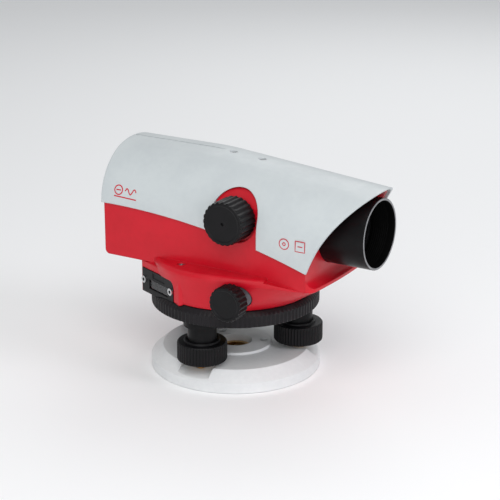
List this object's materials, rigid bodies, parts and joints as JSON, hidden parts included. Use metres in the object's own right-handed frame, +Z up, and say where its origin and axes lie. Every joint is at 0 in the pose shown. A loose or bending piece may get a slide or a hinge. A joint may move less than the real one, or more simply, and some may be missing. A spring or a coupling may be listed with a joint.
{
  "type": "automatic level",
  "caption": "Surveyor's automatic level: telescope and compensator in a cast housing on a levelling base, with foot screws, slow motion drive, focusing knob and horizontal circle.",
  "frame": {"origin": "centre of the base plate's underside on the standing axis, at the mouth of the tripod thread", "axes": "+Z up along the standing axis, +X along the line of sight towards the objective, +Y to the observer's left"},
  "size_m": [0.191, 0.122, 0.1402],
  "materials": {
    "plate_grey": "satin light grey paint on cast aluminium",
    "brass": "machined",
    "steel": "ground",
    "black_paint": "satin black",
    "black_plastic": "satin moulded",
    "scale_silver": "matt, graduated",
    "housing_red": "semi-gloss red paint on cast aluminium",
    "cover_grey": "satin light grey, fine grain",
    "glass": "polished",
    "coated_glass": "coated, polished",
    "liquid": "level liquid in glass",
    "alloy": "machined",
    "mirror": "silvered"
  },
  "bodies": {
    "base": {"base_plate": "plate_grey", "thread_insert": "brass", "spring_plate": "steel", "plate_screws": "steel"},
    "foot_1": {"foot_spindle_1": "brass", "foot_knob_1": "black_plastic"},
    "foot_2": {"foot_spindle_2": "brass", "foot_knob_2": "black_plastic"},
    "foot_3": {"foot_spindle_3": "brass", "foot_knob_3": "black_plastic"},
    "tribrach": {"tribrach": "black_paint", "foot_sleeves": "black_paint", "axis_bush": "brass", "clutch_spring": "steel", "clutch_nut": "brass"},
    "circle": {"circle_ring": "black_paint", "circle_scale": "scale_silver"},
    "wheel": {"worm_wheel": "brass"},
    "alidade": {"housing": "housing_red", "axis_spindle": "steel", "cover": "cover_grey", "cover_screws": "steel", "platform_screws": "steel", "window_panel": "black_plastic", "window_glass": "glass", "panel_screws": "steel", "reading_prism": "glass", "drive_bushes": "alloy", "objective_tube": "black_paint", "objective_lens": "coated_glass", "objective_ring": "black_paint", "telescope_tube": "alloy", "focus_bush": "brass", "reticle_cell": "black_paint", "reticle_glass": "glass", "eyepiece_tube": "black_paint", "compensator_frame": "alloy", "prism_bridge": "alloy", "fixed_prisms": "glass", "damper_magnets": "steel", "level_housing": "black_plastic", "level_vial": "liquid", "mirror_holder": "black_plastic", "level_mirror": "mirror"},
    "drive": {"drive_shaft": "steel", "drive_knob_right": "black_plastic", "drive_knob_left": "black_plastic"},
    "focus": {"focus_knob": "black_plastic", "focus_pinion": "steel"},
    "focus_slide": {"focus_cell": "black_paint", "focus_lens": "glass", "focus_rack": "steel"},
    "pendulum": {"pendulum": "brass", "pendulum_prism": "glass", "suspension_tapes": "steel"},
    "dioptre": {"dioptre_ring": "black_plastic"},
    "eyepiece_slide": {"eyepiece_cell": "black_paint", "eyepiece_lenses": "glass"}
  },
  "joints": [
    {"name": "foot_screw_1", "type": "hinge", "parent": "base", "child": "foot_1", "pos_m": [0, -0.04, 0.02], "axis": [0, 0, 1], "range_deg": [-1081, 1081]},
    {"name": "foot_screw_2", "type": "hinge", "parent": "base", "child": "foot_2", "pos_m": [0.03464, 0.02, 0.02], "axis": [0, 0, 1], "range_deg": [-1081, 1081]},
    {"name": "foot_screw_3", "type": "hinge", "parent": "base", "child": "foot_3", "pos_m": [-0.03464, 0.02, 0.02], "axis": [0, 0, 1], "range_deg": [-1081, 1081]},
    {"name": "level_lift", "type": "slide", "parent": "base", "child": "tribrach", "axis": [0, 0, 1], "range_m": [-0.003, 0.003]},
    {"name": "circle_turn", "type": "hinge", "parent": "tribrach", "child": "circle", "pos_m": [0, 0, 0.0475], "axis": [0, 0, 1], "continuous": true},
    {"name": "coarse_turn", "type": "hinge", "parent": "tribrach", "child": "wheel", "pos_m": [0, 0, 0.0632], "axis": [0, 0, 1], "continuous": true},
    {"name": "fine_turn", "type": "hinge", "parent": "wheel", "child": "alidade", "pos_m": [0, 0, 0.0632], "axis": [0, 0, 1], "continuous": true},
    {"name": "drive_turn", "type": "hinge", "parent": "alidade", "child": "drive", "pos_m": [0.0295, 0, 0.0632], "axis": [0, 1, 0], "continuous": true},
    {"name": "focus_turn", "type": "hinge", "parent": "alidade", "child": "focus", "pos_m": [0.0217, -0.04, 0.1095], "axis": [0, 1, 0], "range_deg": [-110, 110]},
    {"name": "focus_slide", "type": "slide", "parent": "alidade", "child": "focus_slide", "axis": [1, 0, 0], "range_m": [-0.01, 0.01]},
    {"name": "compensator_swing", "type": "hinge", "parent": "alidade", "child": "pendulum", "pos_m": [-0.02, 0, 0.122], "axis": [0, 1, 0], "range_deg": [-0.4, 0.4]},
    {"name": "dioptre_turn", "type": "hinge", "parent": "alidade", "child": "dioptre", "pos_m": [-0.082, 0, 0.1024], "axis": [1, 0, 0], "range_deg": [-153, 153]},
    {"name": "eyepiece_slide", "type": "slide", "parent": "alidade", "child": "eyepiece_slide", "axis": [1, 0, 0], "range_m": [-0.0012, 0.0012]}
  ],
  "couplings": [
    {"joint": "foot_screw_1", "follows": "level_lift", "rad_per_m": 6283.2},
    {"joint": "foot_screw_2", "follows": "level_lift", "rad_per_m": 6283.2},
    {"joint": "foot_screw_3", "follows": "level_lift", "rad_per_m": 6283.2},
    {"joint": "drive_turn", "follows": "fine_turn", "ratio": 50},
    {"joint": "focus_turn", "follows": "focus_slide", "rad_per_m": -190.48},
    {"joint": "dioptre_turn", "follows": "eyepiece_slide", "rad_per_m": 2222.2}
  ]
}
